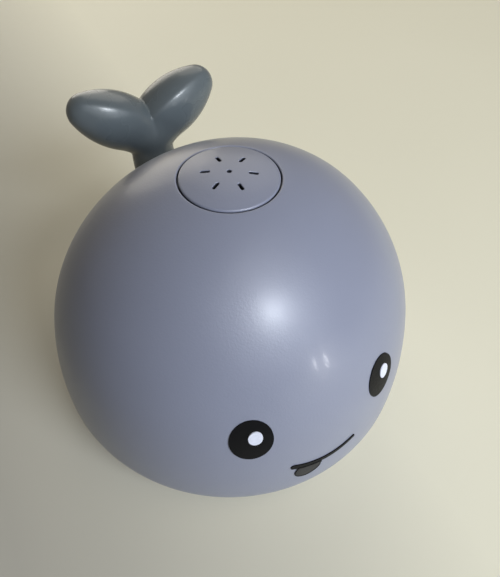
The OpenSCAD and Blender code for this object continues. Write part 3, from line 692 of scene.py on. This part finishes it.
# Sets a camera or lamp on its direction from the toy, in degrees, and turns it to the toy
def aim(o, azimuth, elevation, distance):
    a, e = math.radians(azimuth), math.radians(elevation)
    way = Vector((math.sin(a)*math.cos(e), -math.cos(a)*math.cos(e), math.sin(e)))
    o.location = AIM + way*distance
    o.rotation_euler = (-way).to_track_quat("-Z", "Y").to_euler()
    scene.collection.objects.link(o)


lens = bpy.data.cameras.new("camera")
lens.sensor_width = SENSOR
lens.lens = FOCAL_PX/PHOTO_H*SENSOR
lens.shift_x = (PHOTO_W/2 - MIDDLE_X_PX)/PHOTO_H
lens.shift_y = -(PHOTO_H/2 - MIDDLE_Y_PX)/PHOTO_H
lens.clip_start, lens.clip_end = 0.005, 20.0
camera = bpy.data.objects.new("camera", lens)
aim(camera, -27.39, 48.51, 140*MM)
scene.camera = camera


# Pale table, darker towards the left as in the photograph's shade

TABLE_HALF, TABLE_DROP = 2.0, 0.0002
SHADE_FROM_X, SHADE_TO_X = -0.075, 0.03
TABLE_GLOW, ROOM_GLOW, ROOM_LIGHT = 0.22, 0.32, 0.02


# 1 for rays that show a surface or the world itself, 0 for rays that gather its light
def seen_directly(tree):
    path = add(tree, "ShaderNodeLightPath")
    seen = path.outputs["Is Camera Ray"]
    for ray in ("Is Glossy Ray", "Is Transmission Ray"):
        either = add(tree, "ShaderNodeMath", operation="MAXIMUM")
        tree.links.new(seen, either.inputs[0])
        tree.links.new(path.outputs[ray], either.inputs[1])
        seen = either.outputs["Value"]
    return seen


def table_material():
    m, tree, shader = material("cream_table")
    cream = ramp(tree, noise(tree, scale=3.0, detail=3.0), (0.735, 0.69, 0.535), (0.765, 0.72, 0.565))
    coord = add(tree, "ShaderNodeTexCoord")
    along = add(tree, "ShaderNodeVectorMath", operation="DOT_PRODUCT")
    along.inputs[1].default_value = (1.0, 0.0, 0.0)
    tree.links.new(coord.outputs["Object"], along.inputs[0])
    share = span(tree, along.outputs["Value"], 0, 1, SHADE_FROM_X, SHADE_TO_X)
    tone = multiply(tree, cream, ramp(tree, share, (0.50, 0.50, 0.54), (1, 1, 1), 0.0, 1.0))
    glow = span(tree, seen_directly(tree), 0.0, TABLE_GLOW, 0.0, 1.0)
    fine = noise(tree, scale=260.0, detail=6.0)
    tree.links.new(tone, shader.inputs["Base Color"])
    tree.links.new(tone, shader.inputs["Emission Color"])
    tree.links.new(glow, shader.inputs["Emission Strength"])
    tree.links.new(span(tree, fine, 0.5, 0.62), shader.inputs["Roughness"])
    bump(tree, shader, fine, strength=0.05, distance=0.0002)
    shader.inputs["Specular IOR Level"].default_value = 0.2
    return m


def table():
    mesh = bpy.data.meshes.new("table")
    b = bmesh.new()
    bmesh.ops.create_grid(b, x_segments=8, y_segments=8, size=TABLE_HALF)
    b.to_mesh(mesh)
    b.free()
    mesh.materials.append(table_material())
    o = bpy.data.objects.new("table", mesh)
    o.location = (0, 0, -TABLE_DROP)
    scene.collection.objects.link(o)
    return o


floor = table()


# Room and soft light

def room():
    world = bpy.data.worlds.new("studio")
    world.use_nodes = True
    tree = world.node_tree
    sky = tree.nodes["Background"]
    sky.inputs["Color"].default_value = (1.0, 0.92, 0.78, 1)
    glow = span(tree, seen_directly(tree), ROOM_LIGHT, ROOM_GLOW, 0.0, 1.0)
    tree.links.new(glow, sky.inputs["Strength"])
    return world


def lamp(name, azimuth, elevation, distance, power, width, height, colour):
    data = bpy.data.lights.new(name, "AREA")
    data.shape = "ELLIPSE"
    data.energy, data.size, data.size_y, data.color = power, width, height, colour
    o = bpy.data.objects.new(name, data)
    aim(o, azimuth, elevation, distance)
    return o


scene.world = room()

# Lamps for the tone of the front and the crown, without a reflection of their own
for name, *light in (("window", 17, 31, 0.9, 8.0, 0.5, 0.5, (0.75, 0.845, 1.0)),
                     ("top", 28, 68, 0.8, 1.05, 0.7, 0.35, (1.0, 0.94, 0.76))):
    lamp(name, *light).visible_glossy = False

# Lamps for the soft highlight alone, each wider than the one before
for size, power in ((0.13, 1.2), (0.22, 1.8), (0.36, 1.8), (1.1, 3.0)):
    lamp("sheen", 7, 42, 0.8, power, size, size, (0.90, 0.95, 1.0)).visible_diffuse = False

# Lamps behind the toy
lamp("back", 150, 38, 0.7, 0.75, 0.5, 0.5, (1.0, 0.96, 0.86))
lamp("rear", 176, 14, 0.8, 1.2, 0.5, 0.5, (1.0, 0.95, 0.85))

# Two narrow panes that show as the pair of small lights over the mouth
lamp("pane_left", 19.0, 3.5, 0.8, 0.26, 0.016, 0.11, (1.0, 1.0, 1.0))
lamp("pane_right", 25.5, 1.5, 0.8, 0.40, 0.016, 0.13, (1.0, 1.0, 1.0))

scene.view_settings.view_transform = "Standard"
